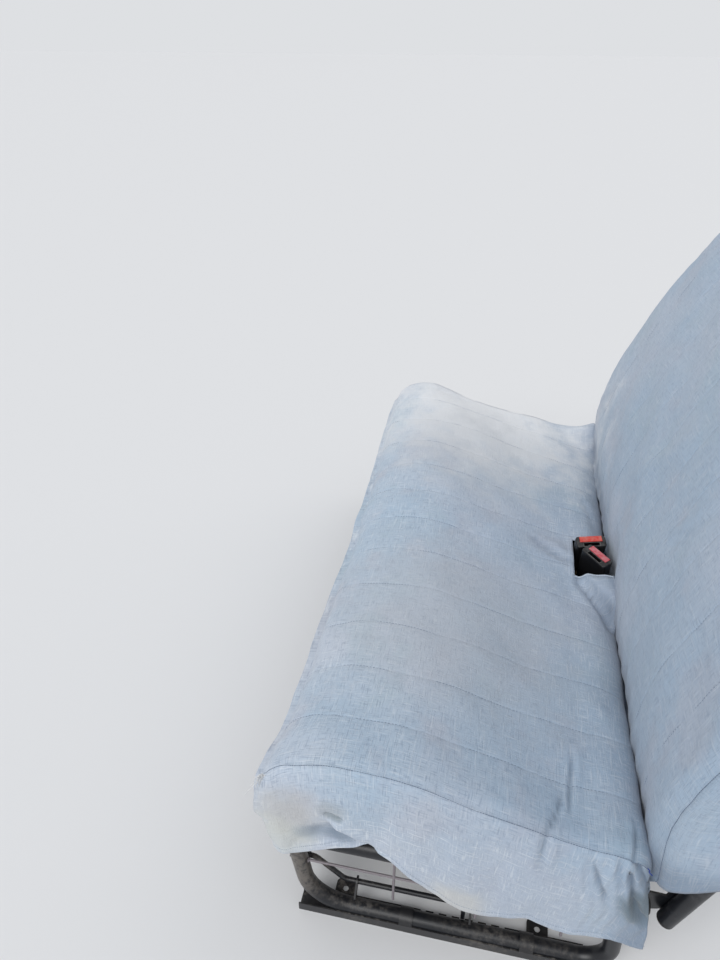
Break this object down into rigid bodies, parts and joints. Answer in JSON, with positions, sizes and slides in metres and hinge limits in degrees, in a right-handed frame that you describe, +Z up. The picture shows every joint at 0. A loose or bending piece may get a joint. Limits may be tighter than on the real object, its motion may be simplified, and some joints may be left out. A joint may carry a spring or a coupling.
{
  "type": "car front bench seat",
  "caption": "Front bench seat of a small car: tube frame sliding on floor runners, rubber-strap springing, two cushions in a loose cloth slip cover and belt buckles.",
  "frame": {"origin": "on the car's floor, in the middle of the four bolts that hold the runners, with the seat halfway along its travel", "axes": "+X towards the car's left side, +Y towards the rear, so the seat faces -Y, +Z up"},
  "size_m": [1.18, 0.7654, 0.8494],
  "materials": {
    "frame_paint": "satin black paint, worn",
    "runner_paint": "satin black paint, scuffed to grey",
    "wire_steel": "dull, brown-grey",
    "hook_steel": "zinc plated, dulled",
    "strap_rubber": "matte",
    "grip_rubber": "ribbed, matte",
    "plug_plastic": "moulded, scuffed",
    "sacking": "coarse open weave",
    "cover_cloth": "washed slub weave",
    "buckle_plastic": "fine grain, dusty",
    "button_red": "faded",
    "webbing": "tight ribbed weave"
  },
  "bodies": {
    "runners": {"runner_left": "runner_paint", "runner_right": "runner_paint"},
    "seat": {"sled_left": "frame_paint", "sled_right": "frame_paint", "front_rail": "frame_paint", "side_rail_left": "frame_paint", "side_rail_right": "frame_paint", "rear_rail": "frame_paint", "side_wires_left": "wire_steel", "side_wires_right": "wire_steel", "back_hoop": "frame_paint", "back_cross_tube": "frame_paint", "back_bracket_left": "frame_paint", "back_bracket_right": "frame_paint", "seat_hooks": "hook_steel", "seat_straps": "strap_rubber", "seat_sheet": "sacking", "back_hooks": "hook_steel", "back_straps": "strap_rubber", "back_sheet": "sacking", "seat_cushion": "cover_cloth", "back_cushion": "cover_cloth", "back_cover": "cover_cloth", "skirt_front": "cover_cloth", "skirt_left": "cover_cloth", "skirt_right": "cover_cloth", "release_lever": "frame_paint", "lever_grip": "grip_rubber", "end_plugs": "plug_plastic", "buckle_driver": "buckle_plastic", "buckle_passenger": "buckle_plastic", "button_driver": "button_red", "button_passenger": "button_red", "stalk_driver": "webbing", "stalk_passenger": "webbing", "buckle_anchor": "frame_paint"}
  },
  "joints": [
    {"name": "seat_slide", "type": "slide", "parent": "runners", "child": "seat", "axis": [0, 1, 0], "range_m": [-0.06, 0.06]}
  ]
}
